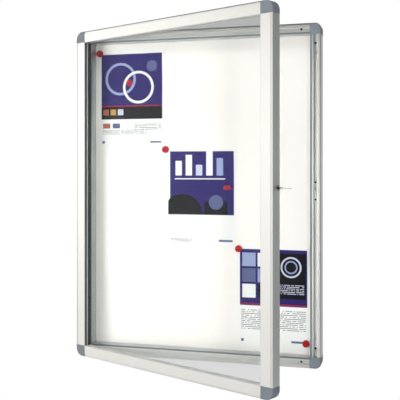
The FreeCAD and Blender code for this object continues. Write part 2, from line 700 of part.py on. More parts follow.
def make_door_cap(sign):
    block = corner_plate(sign, ((0, STILE_FACE), (0, RAIL_FACE)), (0, DOOR_DEPTH + PROFILE_INSET),
                         DOOR_BACK, DOOR_CORNER_RADIUS)
    front = edges_on_rim(block, sign, -(DOOR_FRONT + PROFILE_INSET))
    block = block.makeFillet(DOOR_CAP_EDGE_RADIUS, front)
    rear = edges_on_rim(block, sign, -DOOR_BACK)
    block = block.makeFillet(HINGE_OFFSET if sign[0] < 0 else 2.0, rear)
    across = (STILE_FACE - LIP_WIDTH, STILE_FACE + 1)
    up = (RAIL_FACE - LIP_WIDTH, RAIL_FACE + 1)
    rebate = corner_plate(sign, (across, up), (-1, LIP_BACK), DOOR_BACK)
    return block.cut(rebate).cut(door_legs(sign, FIT_GAP))


def make_door_connector(sign):
    connector = door_legs(sign, 0)
    x_side = "left" if sign[0] < 0 else "right"
    z_side = "bottom" if sign[1] < 0 else "top"
    for side, along_sign in ((x_side, sign[1]), (z_side, sign[0])):
        along = door_screw_places(side)[1] * along_sign
        connector = connector.cut(screw_hole(door_connector_screw(side, along), -Y, FRAME_SCREW))
    return connector


def make_door_connector_screws():
    screws = []
    for side in SIDES:
        for along in door_screw_places(side):
            screws.append(countersunk_screw(door_connector_screw(side, along), -Y, FRAME_SCREW))
    return group(screws)


def pane(cover, forwards):
    """Rectangular plate that reaches cover under the lips."""
    x = HALF_WIDTH - STILE_FACE + cover
    z = HALF_HEIGHT - RAIL_FACE + cover
    low = FreeCAD.Vector(-x, -DOOR_BACK - forwards[0], -z)
    high = FreeCAD.Vector(x, -DOOR_BACK - forwards[1], z)
    return box_between(low, high)


def make_glazing_tape():
    """Foam strip round the edge of the glass, between it and the beads."""
    outer = pane(LIP_WIDTH - 0.5, (TAPE_BACK, GLASS_BACK))
    return outer.cut(pane(0.5, (TAPE_BACK - 1, GLASS_BACK + 1)))


def make_front_gasket():
    """Rubber between lip and glass, with a thin flange that covers the edge of the lip."""
    under_lip = pane(LIP_WIDTH - 0.5, (GLASS_FRONT, LIP_BACK))
    flange = pane(-HAIR, (LIP_BACK, DOOR_DEPTH - LIP_EDGE_RADIUS))
    inside = pane(-GASKET_FLANGE, (GLASS_FRONT - 1, DOOR_DEPTH))
    return under_lip.fuse(flange).removeSplitter().cut(inside)


def make_glazing_bead(side):
    """Strip that clips into the frame behind the glass."""
    face = door_face(side)
    wall = face - LIP_WIDTH
    inner = face - 0.4
    if run(side) is Z:
        length = BOARD_HEIGHT - 2 * (RAIL_FACE - LIP_WIDTH + 0.2)
    else:
        length = BOARD_WIDTH - 2 * (STILE_FACE - 0.2)
    foot = wall + FIT_GAP
    tip = wall - BEAD_REACH
    low, high = BEAD_TONGUE
    section = [(foot, BEAD_REAR, 0), (inner, BEAD_REAR, 2.0), (inner, TAPE_BACK, 0.4), (foot, TAPE_BACK, 0),
               (foot, high, 0), (tip, high, 0), (tip, low, 0), (foot, low, 0)]
    bead = bar(side, section, length, DOOR_BACK)
    clip_length = door_length(side)
    ends = ((-length / 2 - 1, -clip_length / 2), (clip_length / 2, length / 2 + 1))
    for start, end in ends:
        if end - start > 1.0:
            bead = bead.cut(side_box(side, (wall - 3, foot), (start, end), (low - 1, high + 1), DOOR_BACK))
    return bead


# Lock and key, on an axis that runs along the width of the door


def lock_cylinder(radius, start, end):
    """Round piece on the lock axis, between two distances in from the outer side of the door."""
    return Part.makeCylinder(radius, end - start, LOCK_AXIS - X * start, -X)


def lock_box(start, end, width, height):
    """Box on the lock axis: width runs front to rear, height runs up."""
    low = FreeCAD.Vector(HALF_WIDTH - end, LOCK_AXIS.y - width / 2, LOCK_Z - height / 2)
    return Part.makeBox(end - start, width, height, low)


def hook_point(radius, degrees):
    angle = math.radians(degrees)
    return FreeCAD.Vector(HALF_WIDTH - HOOK_START, LOCK_AXIS.y + radius * math.cos(angle),
                          LOCK_Z - radius * math.sin(angle))


def hook_sector(inner, outer, start, end):
    """Ring sector in the plane of the hook."""
    middle = (start + end) / 2
    edges = [
        Part.Arc(hook_point(outer, start), hook_point(outer, middle), hook_point(outer, end)).toShape(),
        Part.makeLine(hook_point(outer, end), hook_point(inner, end)),
        Part.Arc(hook_point(inner, end), hook_point(inner, middle), hook_point(inner, start)).toShape(),
        Part.makeLine(hook_point(inner, start), hook_point(outer, start)),
    ]
    return Part.Face(Part.Wire(edges)).extrude(-X * HOOK_THICKNESS)


def make_lock_barrel():
    front = PROFILE_INSET - BARREL_FLANGE_THICKNESS
    flange = lock_cylinder(BARREL_FLANGE_RADIUS, front, PROFILE_INSET)
    rim = [e for e in flange.Edges if e.BoundBox.XLength < 0.01 and e.BoundBox.XMax > HALF_WIDTH]
    flange = flange.makeFillet(0.6, rim)
    body = flange.fuse(lock_cylinder(BARREL_RADIUS, PROFILE_INSET, BARREL_LENGTH))
    bore = lock_cylinder(PLUG_RADIUS + RUNNING_CLEARANCE, front - 1, BARREL_LENGTH + 1)
    return body.cut(bore).removeSplitter()


def make_lock_nut():
    start = PROFILE_INSET + PROFILE_WALL + HAIR
    end = start + NUT_THICKNESS
    bore = lock_cylinder(BARREL_RADIUS + HAIR, start - 1, end + 1)
    return lock_cylinder(NUT_RADIUS, start, end).cut(bore)


def make_lock_plug():
    """Turning core with the keyway, and a square tail for the hook."""
    front = PROFILE_INSET - BARREL_FLANGE_THICKNESS + 0.3
    core = lock_cylinder(PLUG_RADIUS, front, HOOK_START)
    tail = lock_box(HOOK_START, HOOK_START + HOOK_THICKNESS, HOOK_SQUARE, HOOK_SQUARE)
    blade_end = key_grip_span()[1] + KEY_BLADE_LENGTH
    keyway = lock_box(front - 1, blade_end + 0.4, KEY_BLADE_WIDTH + 0.3, KEY_THICKNESS + 0.3)
    bore_radius = HOOK_SCREW_SHANK + HAIR
    screw_bore = lock_cylinder(bore_radius, HOOK_START - 0.2, HOOK_START + HOOK_THICKNESS + 1)
    return core.fuse(tail).removeSplitter().cut(keyway).cut(screw_bore)


def make_lock_hook():
    """Hub, arm and curved hook; the hook runs round the lock axis, so it slides through a small hole."""
    hub = lock_cylinder(HOOK_HUB_RADIUS, HOOK_START, HOOK_START + HOOK_THICKNESS)
    arm = hook_sector(HOOK_SQUARE - 1, HOOK_OUTER, HOOK_ROOT_DEG - HOOK_ARM_DEG, HOOK_ROOT_DEG)
    hook = hook_sector(HOOK_INNER, HOOK_OUTER, HOOK_TIP_DEG, HOOK_ROOT_DEG)
    side = HOOK_SQUARE + FIT_GAP
    square = lock_box(HOOK_START - 1, HOOK_START + HOOK_THICKNESS + 1, side, side)
    return hub.fuse(arm).fuse(hook).removeSplitter().cut(square)


def make_hook_screw():
    start = HOOK_START + HOOK_THICKNESS + HAIR
    end = start + 2.0
    head = lock_cylinder(HOOK_SCREW_HEAD, start, end)
    shank = lock_cylinder(HOOK_SCREW_SHANK, HOOK_START, start)
    screw = head.fuse(shank).removeSplitter()
    return screw.cut(cross_recess(LOCK_AXIS - X * end, X, HOOK_SCREW_HEAD))


def key_plate(start, end, width, radius_near, radius_far):
    """Flat plate of the key, level, with rounded ends."""
    y0 = LOCK_AXIS.y - width / 2
    y1 = LOCK_AXIS.y + width / 2
    z = LOCK_Z - KEY_THICKNESS / 2
    x0 = HALF_WIDTH - end
    x1 = HALF_WIDTH - start
    corners = [(FreeCAD.Vector(x0, y0, z), radius_far), (FreeCAD.Vector(x1, y0, z), radius_near),
               (FreeCAD.Vector(x1, y1, z), radius_near), (FreeCAD.Vector(x0, y1, z), radius_far)]
    return Part.Face(rounded_wire(corners)).extrude(Z * KEY_THICKNESS)


def key_grip_span():
    near = PROFILE_INSET - BARREL_FLANGE_THICKNESS - 0.5
    return near - KEY_GRIP_LENGTH, near


def make_key():
    """Flat key: blade, neck and rounded bow with a ring hole."""
    grip_far, grip_near = key_grip_span()
    blade_end = grip_near + KEY_BLADE_LENGTH
    blade = key_plate(grip_near - 4.0, blade_end, KEY_BLADE_WIDTH, 0, 1.5)
    neck = key_plate(grip_far - 2.0, grip_near - 1.0, KEY_NECK_WIDTH, 0, 0)
    bow = key_plate(grip_far - KEY_BOW_LENGTH, grip_far, KEY_BOW_WIDTH, 9.0, 4.0)
    hole_centre = LOCK_AXIS - X * (grip_far - KEY_BOW_LENGTH + 7.0) - Z * KEY_THICKNESS
    hole = Part.makeCylinder(KEY_RING_HOLE, 2 * KEY_THICKNESS, hole_centre, Z)
    key = blade.fuse(neck).fuse(bow).removeSplitter().cut(hole)
    for step, depth in enumerate(KEY_CUTS):
        notch_x = HALF_WIDTH - (grip_near + 4.0 + KEY_CUT_PITCH * step)
        edge_y = LOCK_AXIS.y - KEY_BLADE_WIDTH / 2
        low = FreeCAD.Vector(notch_x, edge_y - depth, LOCK_Z - 1.5 * KEY_THICKNESS)
        key = key.cut(Part.makeBox(KEY_CUT_WIDTH, 2 * depth, 3 * KEY_THICKNESS, low))
    return key


def make_key_grip():
    """Black collar moulded round the neck of the key."""
    grip_far, grip_near = key_grip_span()
    body = lock_box(grip_far, grip_near, KEY_GRIP_WIDTH, KEY_GRIP_THICKNESS)
    upright = [e for e in body.Edges if e.BoundBox.ZLength < 0.01 and e.BoundBox.YLength < 0.01]
    body = body.makeFillet(1.2, upright)
    neck = key_plate(grip_far - 1, grip_near - 1.0, KEY_NECK_WIDTH, 0, 0)
    blade = key_plate(grip_near - 4.0, grip_near + 1, KEY_BLADE_WIDTH, 0, 0)
    bow = key_plate(grip_far - 4, grip_far + 0.02, KEY_BOW_WIDTH, 0, 0)
    return body.cut(neck).cut(blade).cut(bow)


def swing_open(shape):
    """Turn a piece of the closed door to where the open door stands."""
    return shape.rotated(HINGE_AXIS, Z, -DOOR_OPEN_DEG)


def make_case():
    for side in SIDES:
        nodes["case_%s_profile" % side] = make_case_profile(side)
        nodes["case_%s_seal" % side] = make_case_seal(side)
    for name, sign in CORNERS.items():
        nodes["case_cap_" + name] = make_case_cap(sign)
        nodes["case_connector_" + name] = make_case_connector(sign)
    nodes["case_connector_screws"] = make_case_connector_screws()
    nodes["backing_board"] = panel_plate((PROFILE_WALL + 0.1, PANEL_BACK))
    nodes["back_panel"] = panel_plate((PANEL_BACK, PANEL_FRONT))
    for number, centre in enumerate(SHEET_CENTRES, 1):
        nodes["paper_sheet_%d" % number] = make_sheet(centre)
    nodes["magnets"] = make_magnets()
    nodes["strike_plate"] = make_strike_plate()
    nodes["strike_screws"] = make_strike_screws()
    screws = []
    for name, height in (("upper", HINGE_Z), ("lower", -HINGE_Z)):
        nodes["hinge_case_leaf_" + name] = make_hinge_case_leaf(height)
        nodes["hinge_pin_" + name] = make_hinge_pin(height)
        for place in hinge_case_screw_places(height):
            screws.append(countersunk_screw(place, X, HINGE_CASE_SCREW))
    nodes["hinge_case_screws"] = group(screws)


def make_door():
    pieces = {}
    names = {"left": "door_hinge_stile", "right": "door_lock_stile",
             "bottom": "door_bottom_rail", "top": "door_top_rail"}
    for side in SIDES:
        pieces[names[side]] = make_door_profile(side)
        pieces["glazing_bead_" + side] = make_glazing_bead(side)
    for name, sign in CORNERS.items():
        pieces["door_cap_" + name] = make_door_cap(sign)
        pieces["door_connector_" + name] = make_door_connector(sign)
    pieces["door_connector_screws"] = make_door_connector_screws()
    pieces["glass_pane"] = pane(GLASS_COVER, (GLASS_BACK, GLASS_FRONT))
    pieces["front_gasket"] = make_front_gasket()
    pieces["glazing_tape"] = make_glazing_tape()
    screws = []
    for name, height in (("upper", HINGE_Z), ("lower", -HINGE_Z)):
        pieces["hinge_door_leaf_" + name] = make_hinge_door_leaf(height)
        for place in hinge_door_screw_places(height):
            screws.append(countersunk_screw(place, -Y, HINGE_DOOR_SCREW))
    pieces["hinge_door_screws"] = group(screws)
    pieces["lock_barrel"] = make_lock_barrel()
    pieces["lock_nut"] = make_lock_nut()
    pieces["lock_plug"] = make_lock_plug()
    pieces["lock_hook"] = make_lock_hook()
    pieces["hook_screw"] = make_hook_screw()
    pieces["key"] = make_key()
    pieces["key_grip"] = make_key_grip()
    for name, shape in pieces.items():
        nodes[name] = swing_open(shape)


os.makedirs("parts", exist_ok=True)
make_case()
make_door()
for name, shape in nodes.items():
    if not shape.isValid():
        print("not valid:", name)
    shape.exportStep("parts/%s.step" % name)
print(len(nodes), "nodes")
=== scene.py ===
from math import radians

import bpy
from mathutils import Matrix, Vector


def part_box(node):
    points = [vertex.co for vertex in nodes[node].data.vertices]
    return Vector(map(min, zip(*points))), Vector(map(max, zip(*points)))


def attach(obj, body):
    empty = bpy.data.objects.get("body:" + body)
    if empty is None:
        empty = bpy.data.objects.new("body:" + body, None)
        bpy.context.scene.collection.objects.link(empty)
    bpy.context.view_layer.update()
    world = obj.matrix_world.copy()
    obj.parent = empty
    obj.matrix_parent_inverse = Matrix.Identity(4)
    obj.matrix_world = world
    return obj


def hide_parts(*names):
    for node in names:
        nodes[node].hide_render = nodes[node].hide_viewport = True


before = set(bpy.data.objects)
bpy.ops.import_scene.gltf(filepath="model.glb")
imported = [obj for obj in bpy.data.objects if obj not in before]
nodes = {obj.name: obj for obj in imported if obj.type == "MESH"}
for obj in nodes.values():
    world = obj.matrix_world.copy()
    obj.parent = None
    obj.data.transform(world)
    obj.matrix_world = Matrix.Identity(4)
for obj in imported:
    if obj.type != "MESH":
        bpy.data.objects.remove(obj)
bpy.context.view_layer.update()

# Lockable notice board for nine A4 sheets, hung on a wall, door standing open 25 degrees.
# Metres. X to the right, Y into the wall, Z up, origin in the middle of the wall fixings.

scene = bpy.context.scene
doorTurn = radians(-25)                       # the door pieces were turned by this about their hinge
doorHinge = (-0.3595, -0.055, 0)
print("frame loaded,", len(nodes), "nodes")


def linear(hexColour):                        # sRGB hex to the linear numbers a shader takes
    numbers = []
    for start in (1, 3, 5):
        c = int(hexColour[start:start + 2], 16) / 255
        numbers.append(c / 12.92 if c <= 0.04045 else ((c + 0.055) / 1.055) ** 2.4)
    return (*numbers, 1.0)


def addNode(tree, kind, settings=None, links=None):
    node = tree.nodes.new(kind)
    for name, value in (settings or {}).items():
        if isinstance(name, str) and hasattr(node, name):
            setattr(node, name, value)
        else:
            node.inputs[name].default_value = value
    for name, source in (links or {}).items():
        tree.links.new(source, node.inputs[name])
    return node


def startMaterial(name, settings):            # new material, its shader and its object coordinates
    material = bpy.data.materials.new(name)
    material.use_nodes = True
    tree = material.node_tree
    shader = tree.nodes["Principled BSDF"]
    for socket, value in settings.items():
        shader.inputs[socket].default_value = value
    place = addNode(tree, "ShaderNodeTexCoord").outputs["Object"]
    return material, tree, shader, place


def dress(material, *names):                  # puts a finish on CAD nodes
    for name in names:
        nodes[name].material_slots[0].material = material


sides = ("left", "right", "bottom", "top")
corners = ("top_left", "top_right", "bottom_left", "bottom_right")

# Aluminium profiles: extruded, etched and anodised silver. Satin, with faint lines
# along each bar from the die.

profileFinish = {
    "dark": "#E6E6E3",
    "pale": "#F3F3F0",
    "roughness": (0.36, 0.46),
    "lineSpacing": 0.0011,                    # real die lines are about 0.1 mm apart, drawn coarser to show
    "lineLength": 0.45,
    "cloudSize": 0.06,                        # soft patches that the etching leaves
    "cloudShare": 0.35,
    "lineHeight": 0.000012,
}
# Long strips of the case profiles that carry painted shade, picked out by their distance from the outside.
caseHalf = {"X": 0.365, "Z": 0.49}
innerWallShade = {                                 # painted shade: greyer, for the shade on the inward walls; tone guessed from the photo
    "inward": 0.0307, "halfWidth": 0.0006, "front": -0.0445, "tone": "#C0C4C5",
}
channelShadeAndDull = {                                   # duller, and greyer as painted shade in the recess; guessed from the photo
    "inward": 0.0165, "halfWidth": 0.0052, "front": -0.0447, "tone": "#E4E5E3", "roughness": 0.6,
}


def stripMask(tree, place, across, strip):    # 1 on one long strip of a case profile
    split = addNode(tree, "ShaderNodeSeparateXYZ", None, {0: place})
    away = addNode(tree, "ShaderNodeMath", {"operation": "ABSOLUTE"}, {0: split.outputs[across]})
    within = addNode(tree, "ShaderNodeMath", {
        "operation": "COMPARE", 1: caseHalf[across] - strip["inward"], 2: strip["halfWidth"],
    }, {0: away.outputs[0]})
    behind = addNode(tree, "ShaderNodeMath", {"operation": "GREATER_THAN", 1: strip["front"]},
                     {0: split.outputs["Y"]})
    return addNode(tree, "ShaderNodeMath", {"operation": "MULTIPLY"},
                   {0: within.outputs[0], 1: behind.outputs[0]}).outputs[0]


def anodisedAluminium(name, run, turn=0.0, across=None):
    make = profileFinish
    material, tree, shader, place = startMaterial(name, {"Metallic": 1.0})
    size = [make["lineSpacing"]] * 3
    size["xyz".index(run)] = make["lineLength"]
    along = addNode(tree, "ShaderNodeMapping", {
        "vector_type": "TEXTURE", "Location": doorHinge, "Rotation": (0, 0, turn), "Scale": size,
    }, {"Vector": place})
    lines = addNode(tree, "ShaderNodeTexNoise", {"Scale": 1.0, "Detail": 2.0, "Roughness": 0.6},
                    {"Vector": along.outputs[0]})
    cloud = addNode(tree, "ShaderNodeTexNoise", {"Scale": 1 / make["cloudSize"], "Detail": 3.0},
                    {"Vector": place})
    both = addNode(tree, "ShaderNodeMix", {"data_type": "FLOAT", "Factor": make["cloudShare"]},
                   {"A": lines.outputs["Fac"], "B": cloud.outputs["Fac"]})
    tone = addNode(tree, "ShaderNodeMix", {
        "data_type": "RGBA", 6: linear(make["dark"]), 7: linear(make["pale"]),
    }, {"Factor": both.outputs[0]}).outputs[2]
    rough = addNode(tree, "ShaderNodeMapRange", {
        "To Min": make["roughness"][0], "To Max": make["roughness"][1],
    }, {"Value": both.outputs[0]})
    bump = addNode(tree, "ShaderNodeBump", {"Strength": 0.5, "Distance": make["lineHeight"]},
                   {"Height": lines.outputs["Fac"]})
    dull = rough.outputs[0]
    if across:
        # painted shade on the inward walls and in the channel; the channel is also duller
        for strip in (innerWallShade, channelShadeAndDull):
            inside = stripMask(tree, place, across, strip)
            tone = addNode(tree, "ShaderNodeMix", {"data_type": "RGBA", 7: linear(strip["tone"])},
                           {"Factor": inside, 6: tone}).outputs[2]
        dull = addNode(tree, "ShaderNodeMix", {"data_type": "FLOAT", "B": channelShadeAndDull["roughness"]},
                       {"Factor": inside, "A": dull}).outputs[0]
    tree.links.new(tone, shader.inputs["Base Color"])
    tree.links.new(dull, shader.inputs["Roughness"])
    tree.links.new(bump.outputs[0], shader.inputs["Normal"])
    return material


dress(anodisedAluminium("anodisedAluminiumUpright", "z"), "door_hinge_stile", "door_lock_stile")
dress(anodisedAluminium("anodisedAluminiumCaseUpright", "z", across="X"),
      "case_left_profile", "case_right_profile")
dress(anodisedAluminium("anodisedAluminiumCaseLevel", "x", across="Z"),
      "case_top_profile", "case_bottom_profile")
dress(anodisedAluminium("anodisedAluminiumDoorRail", "x", doorTurn), "door_top_rail", "door_bottom_rail")
print("aluminium profiles done")

# Moulded parts. One material maker for plastics, lacquer and rubber, because each is a
# plain colour with its own mottling, grain and gloss.


def mouldedFinish(name, make):
    material, tree, shader, place = startMaterial(name, make.get("sockets", {}))
    cloud = addNode(tree, "ShaderNodeTexNoise", {"Scale": 1 / make["cloudSize"], "Detail": 4.0},
                    {"Vector": place})
    grain = addNode(tree, "ShaderNodeTexNoise", {"Scale": 1 / make["grainSize"], "Detail": 2.0},
                    {"Vector": place})
    colour = addNode(tree, "ShaderNodeMix", {
        "data_type": "RGBA", 6: linear(make["dark"]), 7: linear(make["pale"]),
    }, {"Factor": cloud.outputs["Fac"]})
    rough = addNode(tree, "ShaderNodeMapRange", {
        "From Min": 0.3, "From Max": 0.7, "To Min": make["roughness"][0], "To Max": make["roughness"][1],
    }, {"Value": cloud.outputs["Fac"]})
    bump = addNode(tree, "ShaderNodeBump", {"Strength": 0.6, "Distance": make["grainHeight"]},
                   {"Height": grain.outputs["Fac"]})
    tree.links.new(colour.outputs[2], shader.inputs["Base Color"])
    tree.links.new(rough.outputs[0], shader.inputs["Roughness"])
    tree.links.new(bump.outputs[0], shader.inputs["Normal"])
    return material


def hingeShadeGasket(name, make):                # painted shade: dark beside the hinge, where shade falls, pale on the other three sides
    material = mouldedFinish(name, make)
    tree = material.node_tree
    place = addNode(tree, "ShaderNodeTexCoord").outputs["Object"]
    door = addNode(tree, "ShaderNodeMapping", {
        "vector_type": "TEXTURE", "Location": doorHinge, "Rotation": (0, 0, doorTurn),
    }, {"Vector": place})
    split = addNode(tree, "ShaderNodeSeparateXYZ", None, {0: door.outputs[0]})
    away = addNode(tree, "ShaderNodeMath", {"operation": "GREATER_THAN", 1: make["shadeReach"]},
                   {0: split.outputs["X"]})
    base = tree.nodes["Principled BSDF"].inputs["Base Color"]
    both = addNode(tree, "ShaderNodeMix", {"data_type": "RGBA", 7: linear(make["otherSides"])},
                   {"Factor": away.outputs[0], 6: base.links[0].from_socket})
    tree.links.new(both.outputs[2], base)
    return material


cornerCap = {                                 # injection-moulded ABS, eroded mould: dull, finely pitted
    "dark": "#828A92", "pale": "#8F979E", "roughness": (0.38, 0.5),
    "cloudSize": 0.03, "grainSize": 0.0007, "grainHeight": 0.00003,
}
panelLacquer = {                              # stoved white lacquer on steel: even, slight orange peel
    "dark": "#FAF7F2", "pale": "#FBF8F4", "roughness": (0.28, 0.29),
    "cloudSize": 0.25, "grainSize": 0.0035, "grainHeight": 0.00002,
}
hardboard = {                                 # pressed wood fibre: brown, matt, felted
    "dark": "#6A4E35", "pale": "#84664A", "roughness": (0.8, 0.9),
    "cloudSize": 0.02, "grainSize": 0.0012, "grainHeight": 0.0001,
}
hingeBeadShade = {                               # extruded EPDM; its near black with a dull bloom is painted shade, used on the hinge-side bead only, the other three beads being pale PVC
    "dark": "#15181A", "pale": "#22262A", "roughness": (0.5, 0.65),
    "cloudSize": 0.02, "grainSize": 0.0009, "grainHeight": 0.00004,
}
glazingRubber = {                             # the strip round the glass: EPDM, soft sheen; its dark grey is painted shade beside the hinge
    "shadeReach": 0.0355, "otherSides": "#F0F1EF",   # reach of the painted shade in metres from the hinge; otherSides is the strip's own pale colour
    "dark": "#5C6163", "pale": "#6B7072", "roughness": (0.55, 0.7),
    "cloudSize": 0.02, "grainSize": 0.0009, "grainHeight": 0.00004,
}
palePvc = {                                   # extruded PVC beads: light grey, smooth
    "dark": "#C9CBC9", "pale": "#D4D6D3", "roughness": (0.35, 0.45),
    "cloudSize": 0.03, "grainSize": 0.0012, "grainHeight": 0.00001,
}
greyRubber = {                                # the same rubber in mid grey, dusty: the case seals
    "dark": "#737A7C", "pale": "#828889", "roughness": (0.6, 0.75),
    "cloudSize": 0.02, "grainSize": 0.0009, "grainHeight": 0.00004,
}
foamStrip = {                                 # closed-cell foam tape: off-white, fine cells
    "dark": "#D2D5D4", "pale": "#DEE1E0", "roughness": (0.8, 0.9),
    "cloudSize": 0.01, "grainSize": 0.0006, "grainHeight": 0.00008,
}
redMagnet = {                                 # ABS cap over a ferrite disc: deep red, half gloss
    "sockets": {"Specular IOR Level": 0.12},
    "dark": "#A8191E", "pale": "#B42126", "roughness": (0.4, 0.5),
    "cloudSize": 0.01, "grainSize": 0.0012, "grainHeight": 0.00001,
}
blackKeyHead = {                              # moulded nylon: black, matt
    "dark": "#131315", "pale": "#1E1E20", "roughness": (0.4, 0.5),
    "cloudSize": 0.005, "grainSize": 0.0005, "grainHeight": 0.00002,
}

dress(mouldedFinish("mouldedGreyAbs", cornerCap),
      *["%s_cap_%s" % (body, corner) for body in ("case", "door") for corner in corners])
dress(mouldedFinish("stovedWhiteLacquer", panelLacquer), "back_panel")
dress(mouldedFinish("hardboard", hardboard), "backing_board")
# the hinge-side bead is black as painted shade; the other three beads are pale
dress(mouldedFinish("shadedHingeBead", hingeBeadShade), "glazing_bead_left")
dress(mouldedFinish("palePvc", palePvc), "glazing_bead_right", "glazing_bead_bottom", "glazing_bead_top")
dress(mouldedFinish("greyEpdm", greyRubber), *["case_%s_seal" % side for side in sides])
# the gasket's dark grey beside the hinge is painted shade
dress(hingeShadeGasket("glazingGasket", glazingRubber), "front_gasket")
dress(mouldedFinish("foamStrip", foamStrip), "glazing_tape")
dress(mouldedFinish("redAbs", redMagnet), "magnets")
dress(mouldedFinish("blackNylon", blackKeyHead), "key_grip")
print("moulded parts done")

# Small metal parts


def smallMetal(name, make):
    material, tree, shader, place = startMaterial(name, {"Metallic": 1.0})
    spots = addNode(tree, "ShaderNodeTexNoise", {"Scale": 1 / make["spotSize"], "Detail": 5.0},
                    {"Vector": place})
    colour = addNode(tree, "ShaderNodeMix", {
        "data_type": "RGBA", 6: linear(make["dark"]), 7: linear(make["pale"]),
    }, {"Factor": spots.outputs["Fac"]})
    rough = addNode(tree, "ShaderNodeMapRange", {
        "From Min": 0.3, "From Max": 0.7, "To Min": make["roughness"][0], "To Max": make["roughness"][1],
    }, {"Value": spots.outputs["Fac"]})
    bump = addNode(tree, "ShaderNodeBump", {"Strength": 0.4, "Distance": make["spotHeight"]},
                   {"Height": spots.outputs["Fac"]})
    tree.links.new(colour.outputs[2], shader.inputs["Base Color"])
    tree.links.new(rough.outputs[0], shader.inputs["Roughness"])
    tree.links.new(bump.outputs[0], shader.inputs["Normal"])
    return material


zincPlated = {                                # bright zinc on steel: cool, a little cloudy
    "dark": "#A9AEB2", "pale": "#C3C7CA", "roughness": (0.25, 0.42),
    "spotSize": 0.004, "spotHeight": 0.00001,
}
nickelPlated = {                              # nickel on brass, worn by the pocket: pale, half bright
    "dark": "#D6D4CF", "pale": "#E6E4E0", "roughness": (0.3, 0.4),
    "spotSize": 0.006, "spotHeight": 0.000004,
}
dieCastZinc = {                               # raw casting: dull grey, slightly pitted
    "dark": "#8C8F91", "pale": "#A2A5A7", "roughness": (0.5, 0.65),
    "spotSize": 0.003, "spotHeight": 0.00004,
}
satinNickel = {                               # brushed nickel on the lock's outside: pale, quite rough
    "dark": "#B8B9BA", "pale": "#C9CACB", "roughness": (0.42, 0.52),
    "spotSize": 0.004, "spotHeight": 0.000006,
}
blackenedSteel = {                            # burnished and oiled: near black, dull
    "dark": "#2A2B2D", "pale": "#3A3B3D", "roughness": (0.45, 0.6),
    "spotSize": 0.003, "spotHeight": 0.00001,
}
satinSteel = {                                # the strike: rolled stainless, as pale as its channel
    "dark": "#CDD0CF", "pale": "#D8DAD9", "roughness": (0.5, 0.6),
    "spotSize": 0.004, "spotHeight": 0.000006,
}
dress(smallMetal("blackenedSteel", blackenedSteel), "case_connector_screws", "strike_screws")
dress(smallMetal("satinStainless", satinSteel), "strike_plate")
dress(smallMetal("zincPlatedSteel", zincPlated), "door_connector_screws",
      "hinge_case_screws", "hinge_door_screws", "hook_screw",
      "hinge_case_leaf_upper", "hinge_case_leaf_lower", "hinge_door_leaf_upper", "hinge_door_leaf_lower",
      "hinge_pin_upper", "hinge_pin_lower", "lock_hook", "lock_nut")
dress(smallMetal("nickelPlatedBrass", nickelPlated), "key")
dress(smallMetal("satinNickel", satinNickel), "lock_barrel", "lock_plug")
dress(smallMetal("dieCastZinc", dieCastZinc),
      *["%s_connector_%s" % (body, corner) for body in ("case", "door") for corner in corners])
print("small metal done")

# Glass: clear, with hardly a trace of green. Lamps pass straight through it. The IOR is set well below
# real glass, about 1.52, only because the glass in the photo hardly reflects.

glassMake = {"tint": "#FCFDFC", "roughness": 0.01, "ior": 1.14, "rippleScale": 4.0, "rippleHeight": 0.0001}


def floatGlass():
    make = glassMake
    material, tree, shader, place = startMaterial("clearFloatGlass", {
        "Base Color": linear(make["tint"]), "Roughness": make["roughness"], "IOR": make["ior"],
        "Transmission Weight": 1.0,
    })
    ripple = addNode(tree, "ShaderNodeTexNoise", {"Scale": make["rippleScale"], "Detail": 1.0},
                     {"Vector": place})
    bump = addNode(tree, "ShaderNodeBump", {"Strength": 0.1, "Distance": make["rippleHeight"]},
                   {"Height": ripple.outputs["Fac"]})
    tree.links.new(bump.outputs[0], shader.inputs["Normal"])
    clear = addNode(tree, "ShaderNodeBsdfTransparent", {"Color": linear(make["tint"])})
    path = addNode(tree, "ShaderNodeLightPath")
    mix = addNode(tree, "ShaderNodeMixShader", None, {
        0: path.outputs["Is Shadow Ray"], 1: shader.outputs[0], 2: clear.outputs[0],
    })
    tree.links.new(mix.outputs[0], tree.nodes["Material Output"].inputs["Surface"])
    return material


dress(floatGlass(), "glass_pane")
print("glass done")

# The three printed sheets. Coated A4 paper, held at two corners by the magnets, so the
# free corners stand off the panel a little. The print is a plain design: places and sizes in mm
# from the middle of the sheet.

